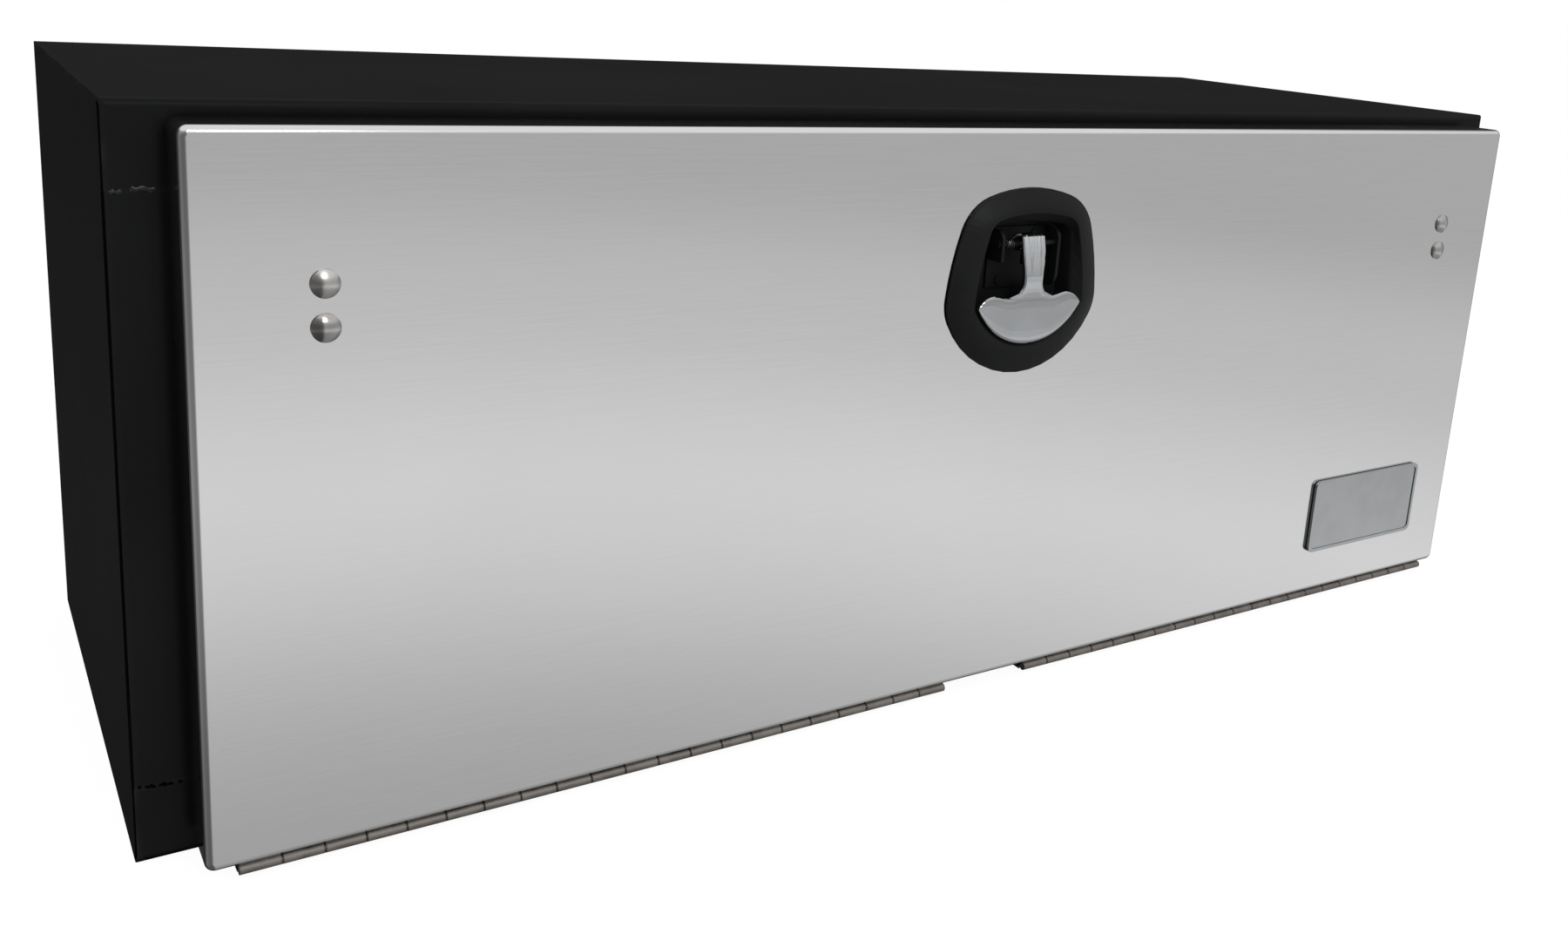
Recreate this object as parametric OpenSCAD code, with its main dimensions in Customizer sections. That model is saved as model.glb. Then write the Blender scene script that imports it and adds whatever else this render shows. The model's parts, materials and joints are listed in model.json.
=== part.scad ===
// Underbody truck tool box: a welded sheet steel body, a drop-down stainless door on a rolled-knuckle
// hinge, and a whale-tail pull handle that draws two latch rods.
// Millimetres, +Z up, +X to the right seen from the front, the door faces -Y.
// The origin is the centre of the body's base.

/* [Body] */
// Width of the body across its ends
body_w = 1219.2; // [1000:0.1:1600]
// Height of the body
body_h = 457.2; // [430:0.1:620]
// Depth of the body from the face of the front frame to the back
body_d = 413.7; // [300:0.1:620]
// Thickness of the body's sheet steel
sheet_t = 2; // [1.5:0.1:3]
// Inside radius of the bends in the body sheets
bend_r = 3; // [1:0.5:5]
// Width of the front frame round the opening
frame_w = 50; // [46:1:60]
// How far the lip round the opening stands out in front of the frame
lip_len = 25; // [18:0.5:28]

/* [Door] */
// Width of the body frame left showing at each side of the door
door_side_gap = 31.5; // [20:0.5:36]
// Height of the body frame left showing above and below the door
door_end_gap = 9.6; // [9:0.1:20]
// Distance from the frame to the outer face of the door
door_stand = 43.5; // [38:0.5:55]
// Thickness of the door's stainless sheet
door_t = 1.5; // [1:0.1:2]
// Gap between the rear edge of the door's flanges and the frame
door_gap = 2; // [1:0.1:4]
// Outside radius of the bends round the door's face
door_bend_r = 4.5; // [3:0.5:5.5]
// Radius of the door's corners seen from the front
door_corner_r = 6; // [6:0.5:12]
// Depth of the door's lower flange, which is short to clear the hinge
low_flange = 33; // [25:0.5:36]
// Height of the notch left behind the short flange at each lower corner
notch_h = 7; // [4:0.5:12]

/* [Hinge] */
// Length of one knuckle, with its gap
knuckle_pitch = 24.75; // [20:0.25:26]
// Distance from the side of the door to the end of the hinge
hinge_end_gap = 18.1; // [10:0.1:40]
// Least gap between the two lengths of hinge
hinge_mid_gap = 75; // [30:1:160]
// Diameter of the hinge pin
hinge_pin_d = 3.2; // [2.5:0.1:3.4]
// Thickness of the hinge leaves
leaf_t = 1.5; // [1:0.1:1.6]
// Gap between neighbouring knuckles
knuckle_gap = 0.6; // [0.4:0.1:1]
// Clearance between a leaf's plane and the other leaf's knuckles
leaf_offset = 0.4; // [0.3:0.1:0.5]
// Height of the fixed leaf's upright on the frame
leaf_upright = 36; // [20:1:40]
// Radial clearance of a pin that turns in its hole
pin_clear = 0.05; // [0.02:0.01:0.09]

/* [Seal] */
// Width of the seal's grip
grip_w = 8; // [6:0.5:10]
// Depth of the seal's grip over the lip
grip_len = 9; // [6:0.5:12]
// Wall of the seal's bulb
bulb_wall = 2; // [1.5:0.1:3]
// Gap between the seal's bulb and the door
seal_gap = 0.4; // [0.3:0.1:1]

/* [Handle dish] */
// Height of the handle's pivot pin below the top of the door
pivot_drop = 85.6; // [75:0.1:110]
// Height of the dish above the pivot pin
dish_rise = 42; // [40:0.5:50]
// Depth of the dish below the pivot pin
dish_fall = 100; // [95:0.5:115]
// How far the dish's rim stands proud of the door
dish_rim = 2.6; // [2.2:0.1:4]
// How far the dish swells out from the door at the edge of its recess
dish_crown = 9.7; // [7:0.1:10.4]
// Thickness of the gasket under the dish's flange
gasket_t = 0.8; // [0.5:0.1:1.2]
// Depth of the recess behind the door's face
recess_depth = 13; // [11:0.5:15]
// Wall thickness of the dish
dish_wall = 2.5; // [2:0.1:3.5]
// Clearance round the recess in the door's cut-out
cutout_clear = 1; // [0.5:0.1:2]
// Diameter of the studs on the back of the dish
stud_d = 5; // [4:0.5:6]

/* [Handle] */
// Width across the whale tail
tail_w = 97.4; // [88:0.1:104]
// Distance from the pivot pin down to the foot of the tail
tail_drop = 75; // [70:0.5:80]
// Thickness of the tail
tail_t = 5.6; // [4:0.1:6]
// How far the front of the tail stands out from the door
tail_front = 12; // [11.5:0.1:14]
// Gap between the tail and the edge of the recess round it
tail_gap = 2.3; // [1.5:0.1:4]
// Width of the stem at its neck
stem_w = 17.6; // [14:0.1:20]
// Width of the stem at its top
stem_top_w = 21.3; // [20:0.1:22]
// Diameter of the pivot pin
fold_pin_d = 4.5; // [4:0.1:5]
// Diameter of the barrel round the pivot pin
barrel_d = 10.5; // [9.5:0.1:11.4]
// Thickness of the clevis
clevis_t = 2.5; // [1.5:0.1:3]
// Distance between the outer faces of the clevis cheeks
clevis_w = 56; // [52:0.5:58]
// Wire diameter of the return spring
spring_wire = 1.2; // [0.8:0.1:1.4]
// Number of curls in the return spring
spring_turns = 4; // [3:1:4]

/* [Latch] */
// Length of the handle's lever, and of the arm that it pushes on the cam
lever_len = 30; // [29:0.5:32]
// Largest angle that the handle folds out through
fold_angle = 35; // [30:1:36]
// Diameter of the lever's cross pin and of the cam's push pin
push_d = 8; // [7:0.1:8.4]
// Gap between the cross pin and the push pin
push_gap = 0.4; // [0.3:0.1:0.8]
// Distance from the cam's axis to the rod pins
cam_r = 22; // [21:0.5:26]
// Thickness of the cam
cam_t = 3; // [2.5:0.1:4]
// Diameter of the rod pins on the cam
rod_pin_d = 6; // [5:0.1:7]
// Diameter of the latch rods
rod_d = 8; // [6:0.5:9]
// Distance of the rods' outer ends and of the bolts' middle below the top of the door
rod_drop = 100.6; // [95:0.1:108]
// Depth of the rods' outer ends behind the frame's face
rod_back = 8; // [7.5:0.5:12]
// How far a rod's end reaches past the edge of the opening, below zero where it stands clear
rod_reach = -8; // [-14:0.1:-7.8]
// Thickness of the strap and of the rod guides
strap_t = 2.5; // [2:0.1:3]

/* [Bolts] */
// Distance of the carriage bolts from the side of the door
bolt_side = 72.6; // [63:0.1:140]
// Distance between the two bolts of a pair
bolt_pitch = 25.4; // [22:0.1:40]
// Diameter of the bolts
bolt_d = 8; // [6:0.5:8]
// Diameter of the bolts' domed heads
bolt_head_d = 16.8; // [14:0.1:20]
// Height of the bolts' domed heads
bolt_head_h = 4.2; // [3:0.1:6]

/* [Badge] */
// Width of the badge plate
badge_w = 150; // [100:1:170]
// Height of the badge plate
badge_h = 70; // [40:1:90]
// Thickness of the badge plate
badge_t = 2.6; // [2:0.1:6]
// Thickness of the pad under the badge plate
badge_pad_t = 0.8; // [0.5:0.1:1.5]
// Distance of the badge's middle from the right side of the door
badge_side = 127.1; // [90:0.1:300]
// Height of the badge's middle above the lower edge of the door
badge_rise = 76.4; // [55:0.1:120]

/* [Hidden] */
$fn = 64;
// Small overlap that keeps cuts and unions clean
eps = 0.01;
// Clearance of a pin or stud in a hole that it doesn't turn in
fixed_clear = 0.02;

// Body places
face_y = -body_d / 2;
back_y = body_d / 2;
open_w = body_w - 2 * frame_w;
open_low = frame_w;
open_high = body_h - frame_w;
bend_out = bend_r + sheet_t;

// Door places
door_w = body_w - 2 * door_side_gap;
door_h = body_h - 2 * door_end_gap;
door_low = door_end_gap;
door_top = body_h - door_end_gap;
door_face = face_y - door_stand;
skin_y = door_face + door_t;

// Hinge places
knuckle_r = hinge_pin_d / 2 + pin_clear + leaf_t;
hinge_y = door_face + knuckle_r;
hinge_z = door_low - leaf_offset - knuckle_r;
// Each length has an odd number of knuckles, so that the door's leaf holds both of its ends
hinge_room = door_w / 2 - hinge_end_gap - hinge_mid_gap / 2 + eps;
knuckle_count = 2 * floor((hinge_room / knuckle_pitch - 1) / 2) + 1;
hinge_len = knuckle_pitch * knuckle_count;
hinge_start = door_w / 2 - hinge_end_gap - hinge_len;
leaf_clear = 0.6;

// Seal places, measured outwards from the lip and forwards from the frame
grip_cap = 1.8;
grip_slot = 0.1;
bulb_front = door_stand - door_t - seal_gap;
bulb_back = lip_len + grip_slot + grip_cap / 2;
bulb_d = bulb_front - bulb_back;

// Bolt and badge places
bolt_x = door_w / 2 - bolt_side;
rod_z = door_top - rod_drop;
badge_x = door_w / 2 - badge_side;
badge_z = door_low + badge_rise;

// Handle and latch places, measured forwards from the door's face and up from the pivot pin
pivot_z = door_top - pivot_drop;
pivot_f = 1;
pivot_y = door_face - pivot_f;
floor_f = -recess_depth;
cam_z = pivot_z - push_d - push_gap;
cam_swing = fold_angle / 2;
pin_dx = cam_r * sin(cam_swing);
pin_dz = cam_r * cos(cam_swing);
lever_head_wall = 3;
lever_head_d = push_d + 2 * lever_head_wall;
head_t = 2;
cam_clear = 0.6;
cam_y = pivot_y + lever_len + lever_head_d / 2 + head_t + cam_clear;
eye_t = 4;
eye_gap = 0.2;
eye_front = cam_y + cam_t + eye_gap;
rod_gap = 0.4;
eye_y = cam_y + cam_t + rod_gap + rod_d / 2;
eye_d = 14;
strap_y = cam_y + cam_t + cam_clear;
strap_h = 20;
strap_leg_x = 49;
clip_t = 1;
stud_top_x = 58;
stud_low = [44, -70];
stud_len = 12;
stud_clear = 0.3;
stud_hole = stud_d + 2 * stud_clear;
nut_flange_t = 1.2;
nut_flange_w = 1.5;
stud_nut_flat = 8;
stud_nut_h = 5;

// Vector helpers
function unit(v) = v / norm(v);
function heading(v) = atan2(v[1], v[0]);
function turned(v, a) = [v[0] * cos(a) - v[1] * sin(a), v[0] * sin(a) + v[1] * cos(a)];

// Points on an arc, without its last one
function arc(c, r, from, to, n) =
    [for (i = [0:n - 1]) let (a = from + (to - from) * i / n) c + r * [cos(a), sin(a)]];
// Centre of the large arc of radius r that bows round two smaller circles on their right
function bow_centre(c1, r1, c2, r2, r) =
    let (
        d = c2 - c1,
        along = (pow(r - r1, 2) - pow(r - r2, 2) + d * d) / (2 * norm(d)),
        across = sqrt(pow(r - r1, 2) - along * along))
    c1 + along * unit(d) + across * turned(unit(d), -90);
// A shield is [top, top radius, shoulder, bottom, bottom radius, hip, side radius]: heights from the
// pivot pin, and each shoulder and hip as [radius, x of its centre]
function shield(s, inset = 0) =
    let (
        top_r = s[1],
        shoulder_r = s[2][0],
        low_r = s[4],
        hip_r = s[5][0],
        top_c = [0, s[0] - top_r],
        low_c = [0, s[3] + low_r],
        shoulder_turn = asin(s[2][1] / (top_r - shoulder_r)),
        hip_turn = asin(s[5][1] / (low_r - hip_r)),
        shoulder = [s[2][1], top_c[1] + (top_r - shoulder_r) * cos(shoulder_turn)],
        hip = [s[5][1], low_c[1] - (low_r - hip_r) * cos(hip_turn)],
        bow = bow_centre(shoulder, shoulder_r, hip, hip_r, s[6]),
        bow_top = heading(shoulder - bow),
        bow_low = heading(hip - bow),
        right = concat(
            arc(low_c, low_r - inset, -90, hip_turn - 90, 7),
            arc(hip, hip_r - inset, hip_turn - 90, bow_low, 6),
            arc(bow, s[6] - inset, bow_low, bow_top, 4),
            arc(shoulder, shoulder_r - inset, bow_top, 90 - shoulder_turn, 6),
            arc(top_c, top_r - inset, 90 - shoulder_turn, 90, 4)))
    concat(right, [[0, s[0] - inset]], [for (i = [len(right) - 1:-1:1]) [-right[i][0], right[i][1]]]);

// Foot of the tail: an arc through its lowest point and its two tips
tail_half = tail_w / 2;
tip_drop = 46.5;
foot_rise = tail_drop - tip_drop;
tail_low_r = (pow(tail_half, 2) + pow(foot_rise, 2)) / (2 * foot_rise);

// Outline of the dish's flange
edge_top_r = 116;
edge_shoulder = [37, 26];
edge_low_r = 76;
edge_hip = [35, 36.6];
edge_side_r = 225;
dish_edge = [dish_rise, edge_top_r, edge_shoulder, -dish_fall, edge_low_r, edge_hip, edge_side_r];
// Edge of the recess at the crown of the flange: it runs round the tail, with more room at the tips
step_drop = 18.3;
step_top_r = 130;
step_shoulder = [14, 28.8];
tip_room = 0.7;
step_half = tail_half + tail_gap + tip_room;
step_low_r = tail_low_r + tail_gap;
step_hip_r = 8;
step_side_r = 240;
dish_step = [dish_rise - step_drop, step_top_r, step_shoulder,
    -tail_drop - tail_gap, step_low_r, [step_hip_r, step_half - step_hip_r], step_side_r];
// Foot of the slope inside that edge, where the straight wall of the recess starts
slope_run = 7.6;
slope_f = 1.7;
recess_top_r = 200;
recess_shoulder = [11, 31.9];
recess_hip_r = 14;
recess_side_r = 400;
dish_recess = [dish_rise - step_drop - slope_run, recess_top_r, recess_shoulder,
    -tail_drop - tail_gap + slope_run, step_low_r - slope_run,
    [recess_hip_r, step_half - slope_run - recess_hip_r], recess_side_r];

// A closed loft through rings of equal length, capped at both ends; a ring runs anticlockwise seen from
// the ring after it
module loft(rings) {
    n = len(rings[0]);
    m = len(rings);
    sides = [for (j = [0:m - 2]) for (i = [0:n - 1]) let (
        a = j * n + i,
        b = j * n + (i + 1) % n)
        each [[a, b + n, b], [a, a + n, b + n]]];
    first = [for (i = [0:n - 1]) i];
    last = [for (i = [n - 1:-1:0]) (m - 1) * n + i];
    polyhedron(points = [for (r = rings) each r], faces = concat(sides, [first, last]), convexity = 8);
}

// A sheet bent along a path of points, as the outline of its edge
function normal(a, b) = let (u = unit(b - a)) [-u[1], u[0]];
function bend(a, b, c, r, n) =
    let (
        n_in = normal(a, b),
        n_out = normal(b, c),
        turn = atan2(n_in[0] * n_out[1] - n_in[1] * n_out[0], n_in * n_out),
        start = b - unit(b - a) * r * tan(abs(turn) / 2),
        centre = start + sign(turn) * r * n_in)
    [for (i = [0:n]) let (m = turned(n_in, turn * i / n)) [centre - sign(turn) * r * m, m]];
function bent_sheet(path, t, r, n = 6) =
    let (
        k = len(path),
        rows = concat(
            [[path[0], normal(path[0], path[1])]],
            [for (i = [1:1:k - 2]) each bend(path[i - 1], path[i], path[i + 1], r, n)],
            [[path[k - 1], normal(path[k - 2], path[k - 1])]]))
    concat(
        [for (q = rows) q[0] + q[1] * t / 2],
        [for (i = [len(rows) - 1:-1:0]) rows[i][0] - rows[i][1] * t / 2]);

// Extrusions along X of an outline drawn in Y and Z, and along Y of one drawn in X and Z
module along_x(from, to) {
    translate([from, 0, 0]) rotate([90, 0, 90]) linear_extrude(to - from) children();
}
module along_y(from, to) {
    translate([0, to, 0]) rotate([90, 0, 0]) linear_extrude(to - from) children();
}
module both_sides() {
    children();
    mirror([1, 0, 0]) children();
}
module x_pin(d, from, to) {
    translate([from, 0, 0]) rotate([0, 90, 0]) cylinder(d = d, h = to - from);
}
module y_pin(d, from, to) {
    translate([0, from, 0]) rotate([-90, 0, 0]) cylinder(d = d, h = to - from);
}
module rounded_plate(w, h, r) {
    square([w - 2 * r, h], center = true);
    square([w, h - 2 * r], center = true);
    for (x = [-1, 1], y = [-1, 1]) translate([x * (w / 2 - r), y * (h / 2 - r)]) circle(r);
}

// Body
mid_r = bend_r + sheet_t / 2;
// Edge of the top sheet: back, front flange and lip
function top_path(lip) = concat(
    [[back_y, body_h - sheet_t / 2], [face_y + sheet_t / 2, body_h - sheet_t / 2]],
    lip
        ? [[face_y + sheet_t / 2, open_high + sheet_t / 2], [face_y - lip_len, open_high + sheet_t / 2]]
        : [[face_y + sheet_t / 2, open_high]]);
function low_path(lip) = [for (p = top_path(lip)) [p[0], body_h - p[1]]];
module wrap_panel(lip_path, plain_path) {
    lip_half = open_w / 2 + sheet_t;
    intersection() {
        union() {
            along_x(-lip_half, lip_half) polygon(bent_sheet(lip_path, sheet_t, mid_r));
            for (s = [-1, 1]) {
                ends = [s * lip_half, s * body_w / 2];
                along_x(min(ends), max(ends)) polygon(bent_sheet(plain_path, sheet_t, mid_r));
            }
        }
        linear_extrude(body_h) wrap_outline();
    }
}
// Plan of a wrap panel: front corners rounded like the bends of the ends, with the lip ahead
module wrap_outline() {
    translate([-body_w / 2, face_y + bend_out]) square([body_w, body_d - bend_out]);
    translate([-body_w / 2 + bend_out, face_y]) square([body_w - 2 * bend_out, body_d / 2]);
    for (s = [-1, 1]) translate([s * (body_w / 2 - bend_out), face_y + bend_out]) circle(bend_out);
    translate([-open_w / 2 - sheet_t, face_y - lip_len]) square([open_w + 2 * sheet_t, body_d / 2]);
}
module top_panel() {
    color("#1d1d1f") wrap_panel(top_path(true), top_path(false));
}
module bottom_panel() {
    color("#1d1d1f") wrap_panel(low_path(true), low_path(false));
}
module back_panel() {
    color("#1d1d1f") translate([-body_w / 2 + sheet_t, back_y - sheet_t, sheet_t])
        cube([body_w - 2 * sheet_t, sheet_t, body_h - 2 * sheet_t]);
}
module end_panel() {
    x = body_w / 2 - sheet_t / 2;
    lip_x = open_w / 2 + sheet_t / 2;
    front = face_y + sheet_t / 2;
    translate([0, 0, open_low]) linear_extrude(open_high - open_low)
        polygon(bent_sheet([[x, back_y], [x, front], [lip_x, front], [lip_x, face_y - lip_len]],
            sheet_t, mid_r));
    // Above and below the strip the wall stops behind the flanges of the top and bottom panels
    for (span = [[sheet_t, open_low], [open_high, body_h - sheet_t]])
        translate([body_w / 2 - sheet_t, face_y + bend_out, span[0]])
            cube([sheet_t, body_d - bend_out, span[1] - span[0]]);
}
module right_end() {
    color("#1d1d1f") end_panel();
}
module left_end() {
    color("#1d1d1f") mirror([1, 0, 0]) end_panel();
}

// Seal: section with the lip at the origin, outwards along X and forwards along Y
module seal_section() {
    difference() {
        union() {
            translate([-grip_w / 2, lip_len - grip_len]) square([grip_w, grip_len + grip_slot + grip_cap]);
            translate([0, bulb_back + bulb_d / 2]) circle(d = bulb_d);
        }
        translate([-sheet_t / 2 - grip_slot, lip_len - grip_len - eps])
            square([sheet_t + 2 * grip_slot, grip_len + grip_slot + eps]);
        translate([0, bulb_back + bulb_d / 2]) circle(d = bulb_d - 2 * bulb_wall);
    }
}
module seal_bar(half, height) {
    reach = max(bulb_d, grip_w) / 2 + eps;
    translate([0, face_y, height]) intersection() {
        translate([-half - reach, 0, 0]) rotate([90, 0, 90]) linear_extrude(2 * (half + reach))
            rotate(90) seal_section();
        along_y(-door_stand, 0) polygon([
            [-half + reach, -reach],
            [half - reach, -reach],
            [half + reach, reach],
            [-half - reach, reach]]);
    }
}
module opening_seal() {
    half_x = open_w / 2 + sheet_t / 2;
    half_z = (open_high - open_low) / 2 + sheet_t / 2;
    color("#141414") translate([0, 0, body_h / 2]) for (turn = [0:3]) {
        wide = turn % 2 == 0;
        rotate([0, turn * 90, 0]) seal_bar(wide ? half_x : half_z, wide ? half_z : half_x);
    }
}

// Hinge: one length to the right of the middle, the left one is its mirror
function knuckle_x(k) = hinge_start + k * knuckle_pitch;
module knuckles(parity, side) {
    strip_y = knuckle_r + leaf_clear;
    for (k = [parity:2:knuckle_count - 1])
        along_x(knuckle_x(k) + knuckle_gap / 2, knuckle_x(k + 1) - knuckle_gap / 2) difference() {
            union() {
                circle(knuckle_r);
                translate([0, side * (knuckle_r + leaf_offset - leaf_t / 2) - leaf_t / 2])
                    square([strip_y + eps, leaf_t]);
            }
            circle(hinge_pin_d / 2 + pin_clear);
        }
}
module frame_leaf() {
    web_z = -knuckle_r - leaf_offset + leaf_t / 2;
    reach = face_y - hinge_y - leaf_t / 2;
    color("#8d8a84") translate([0, hinge_y, hinge_z]) {
        knuckles(1, -1);
        along_x(hinge_start, hinge_start + hinge_len) polygon(bent_sheet(
            [[knuckle_r + leaf_clear, web_z], [reach, web_z], [reach, web_z + leaf_upright]],
            leaf_t, leaf_t));
    }
}
module door_leaf() {
    top_z = knuckle_r + leaf_offset;
    color("#8d8a84") translate([0, hinge_y, hinge_z]) {
        knuckles(0, 1);
        translate([hinge_start, knuckle_r + leaf_clear, top_z - leaf_t])
            cube([hinge_len, low_flange - 3 * knuckle_r - leaf_clear, leaf_t]);
    }
}
module hinge_pin() {
    color("#77746f") translate([0, hinge_y, hinge_z])
        x_pin(hinge_pin_d, hinge_start, hinge_start + hinge_len);
}
module hinge_frame_leaf_right() {
    frame_leaf();
}
module hinge_frame_leaf_left() {
    mirror([1, 0, 0]) frame_leaf();
}
module hinge_door_leaf_right() {
    door_leaf();
}
module hinge_door_leaf_left() {
    mirror([1, 0, 0]) door_leaf();
}
module hinge_pin_right() {
    hinge_pin();
}
module hinge_pin_left() {
    mirror([1, 0, 0]) hinge_pin();
}

// Door pan: a block with rounded corners and a rounded front, less a smaller one
module edge_profile(half, depth, r) {
    translate([-half + r, 0]) square([2 * (half - r), depth]);
    translate([-half, r]) square([2 * half, depth - r]);
    for (s = [-1, 1]) translate([s * (half - r), r]) circle(r);
}
module pan_block(w, h, depth, corner, r) {
    translate([-w / 2 + corner, 0, 0]) rotate([90, 0, 90]) linear_extrude(w - 2 * corner)
        mirror([1, -1]) edge_profile(h / 2, depth, r);
    translate([0, 0, -h / 2 + corner]) linear_extrude(h - 2 * corner) edge_profile(w / 2, depth, r);
    for (x = [-1, 1], z = [-1, 1]) translate([x * (w / 2 - corner), 0, z * (h / 2 - corner)])
        rotate([-90, 0, 0]) rotate_extrude() intersection() {
            edge_profile(corner, depth, r);
            square([corner, depth]);
        }
}
module door_pan() {
    depth = door_stand - door_gap;
    color("#c9c9c9") difference() {
        translate([0, door_face, body_h / 2]) pan_block(door_w, door_h, depth, door_corner_r, door_bend_r);
        translate([0, skin_y, body_h / 2]) pan_block(
            door_w - 2 * door_t, door_h - 2 * door_t, depth, door_corner_r - door_t, door_bend_r - door_t);
        translate([-door_w / 2 - eps, door_face + low_flange, door_low - eps])
            cube([door_w + 2 * eps, depth, notch_h + eps]);
        translate([0, 0, pivot_z]) {
            along_y(door_face - eps, skin_y + eps) polygon(shield(dish_recess, -dish_wall - cutout_clear));
            dish_stud_places() y_pin(stud_hole, door_face - eps, skin_y + eps);
        }
        bolt_places() along_y(door_face - eps, skin_y + eps)
            square(bolt_d + 2 * bolt_neck_clear, center = true);
    }
}

// Handle dish: rings from the back of its floor, out under the flange, round it and in to the recess
module dish_stud_places() {
    both_sides() {
        translate([stud_top_x, 0, cam_z - pivot_z]) children();
        translate([stud_low[0], 0, stud_low[1]]) children();
    }
}
rim_r = 1.2;
brow_r = 1;
wall_draft = 1.2;
floor_r = 1.5;
flange_steps = 5;
swell = 1.5;
function placed(points, f) = [for (p = points) [p[0], door_face - f, pivot_z + p[1]]];
function dish_ring(s, inset, f) = placed(shield(s, inset), f);
// Ring part of the way from the rim to the edge of the recess
function flange_ring(t) = placed(
    (1 - t) * shield(dish_edge, rim_r) + t * shield(dish_step, -brow_r),
    dish_rim + (dish_crown - dish_rim) * (1 - pow(1 - t, swell)));
module dish_shell() {
    back_f = floor_f - dish_wall;
    back_r = floor_r + dish_wall;
    turns = [0:30:90];
    loft(concat(
        [for (a = turns) dish_ring(dish_recess, wall_draft - dish_wall + back_r * (1 - sin(a)),
            back_f + back_r * (1 - cos(a)))],
        [dish_ring(dish_recess, -dish_wall, gasket_t), dish_ring(dish_edge, 0, gasket_t)],
        [for (a = turns) dish_ring(dish_edge, rim_r * (1 - cos(a)), dish_rim - rim_r * (1 - sin(a)))],
        [for (i = [1:flange_steps]) flange_ring(i / flange_steps)],
        [for (a = [30, 60]) dish_ring(dish_step, brow_r * (sin(a) - 1), dish_crown - brow_r * (1 - cos(a)))],
        [dish_ring(dish_recess, -brow_r, slope_f + brow_r), dish_ring(dish_recess, 0, slope_f - brow_r)],
        [for (a = turns) dish_ring(dish_recess, wall_draft + floor_r * (1 - cos(a)),
            floor_f + floor_r * (1 - sin(a)))]));
}
// Slot that the handle's lever passes through, in the dish and in the clevis, away from the spring
lever_w = 5.5;
lever_x = 7.8;
lever_t = 9;
slot_clear = 1.2;
module lever_slot() {
    low = lever_len * sin(fold_angle) + slot_clear;
    translate([lever_x - lever_w / 2 - slot_clear, 0, pivot_z - low])
        cube([lever_w + 2 * slot_clear, lever_len, low + lever_t / 2 + slot_clear]);
}
module handle_dish() {
    color("#2a2a2c") difference() {
        union() {
            dish_shell();
            translate([0, 0, pivot_z]) dish_stud_places()
                y_pin(stud_d, door_face - gasket_t - eps, skin_y + stud_len);
        }
        translate([0, door_face, 0]) lever_slot();
        rivet_places() y_pin(rivet_d + 2 * fixed_clear, -dish_wall - eps, eps);
    }
}
gasket_inset = 1.5;
module dish_gasket() {
    color("#101010") translate([0, 0, pivot_z]) difference() {
        along_y(door_face - gasket_t, door_face) difference() {
            polygon(shield(dish_edge, gasket_inset));
            polygon(shield(dish_recess, -dish_wall - cutout_clear));
        }
        dish_stud_places() y_pin(stud_hole, door_face - gasket_t - eps, door_face + eps);
    }
}
module hex_nut(d, flat, h) {
    rotate([-90, 0, 0]) difference() {
        union() {
            cylinder(d = flat / cos(30), h = h, $fn = 6);
            cylinder(d = flat + 2 * nut_flange_w, h = nut_flange_t);
        }
        translate([0, 0, -eps]) cylinder(d = d + 2 * fixed_clear, h = h + 2 * eps);
    }
}
module dish_nuts() {
    color("#b0b0ac") translate([0, 0, pivot_z]) both_sides() {
        translate([stud_top_x, skin_y + strap_t, cam_z - pivot_z]) hex_nut(stud_d, stud_nut_flat, stud_nut_h);
        translate([stud_low[0], skin_y, stud_low[1]]) hex_nut(stud_d, stud_nut_flat, stud_nut_h);
    }
}

// Clevis in the recess, with the pivot pin through its cheeks
cheek_top = 11;
cheek_low = -35;
cheek_front = 6;
cheek_top_r = 8;
cheek_low_r = 12;
// The cheek on the spring's side is cut short under the pin
short_cheek_low = -13;
short_cheek_r = 1.5;
rivet_d = 4;
rivet_head_d = 7.2;
rivet_head_h = 1.2;
rivet_x = 16;
rivet_edge = 5.5;
floor_y = door_face - floor_f;
module rivet_places() {
    for (x = [-rivet_x, rivet_x], z = [cheek_top - rivet_edge, cheek_low + rivet_edge])
        translate([x, floor_y + dish_wall, pivot_z + z]) children();
}
// Cheek seen from the side: Y runs back from the door's face, Z up from the pivot pin
module cheek_outline(low, low_r) {
    deep = recess_depth + cheek_front;
    difference() {
        translate([-cheek_front, low]) square([deep, cheek_top - low]);
        translate([-cheek_front, cheek_top]) corner_cut(cheek_top_r, -1);
        translate([-cheek_front, low]) corner_cut(low_r, 1);
        translate([-pivot_f, 0]) circle(d = fold_pin_d + 2 * fixed_clear);
    }
}
module corner_cut(r, up) {
    difference() {
        translate([-eps, up > 0 ? -eps : -r]) square(r + eps);
        translate([r, up * r]) circle(r);
    }
}
module handle_clevis() {
    color("#232325") difference() {
        translate([0, door_face, pivot_z]) {
            along_x(clevis_w / 2 - clevis_t, clevis_w / 2) cheek_outline(cheek_low, cheek_low_r);
            along_x(-clevis_w / 2, clevis_t - clevis_w / 2) cheek_outline(short_cheek_low, short_cheek_r);
            translate([-clevis_w / 2, recess_depth - clevis_t, cheek_low])
                cube([clevis_w, clevis_t, cheek_top - cheek_low]);
        }
        translate([0, door_face, 0]) lever_slot();
        rivet_places() y_pin(rivet_d + 2 * fixed_clear, -dish_wall - clevis_t - eps, eps);
    }
}
module clevis_rivets() {
    color("#3a3a3c") rivet_places() {
        y_pin(rivet_d, -dish_wall - clevis_t, 0);
        y_pin(rivet_head_d, -dish_wall - clevis_t - rivet_head_h, -dish_wall - clevis_t);
        y_pin(rivet_head_d, 0, rivet_head_h);
    }
}
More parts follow.
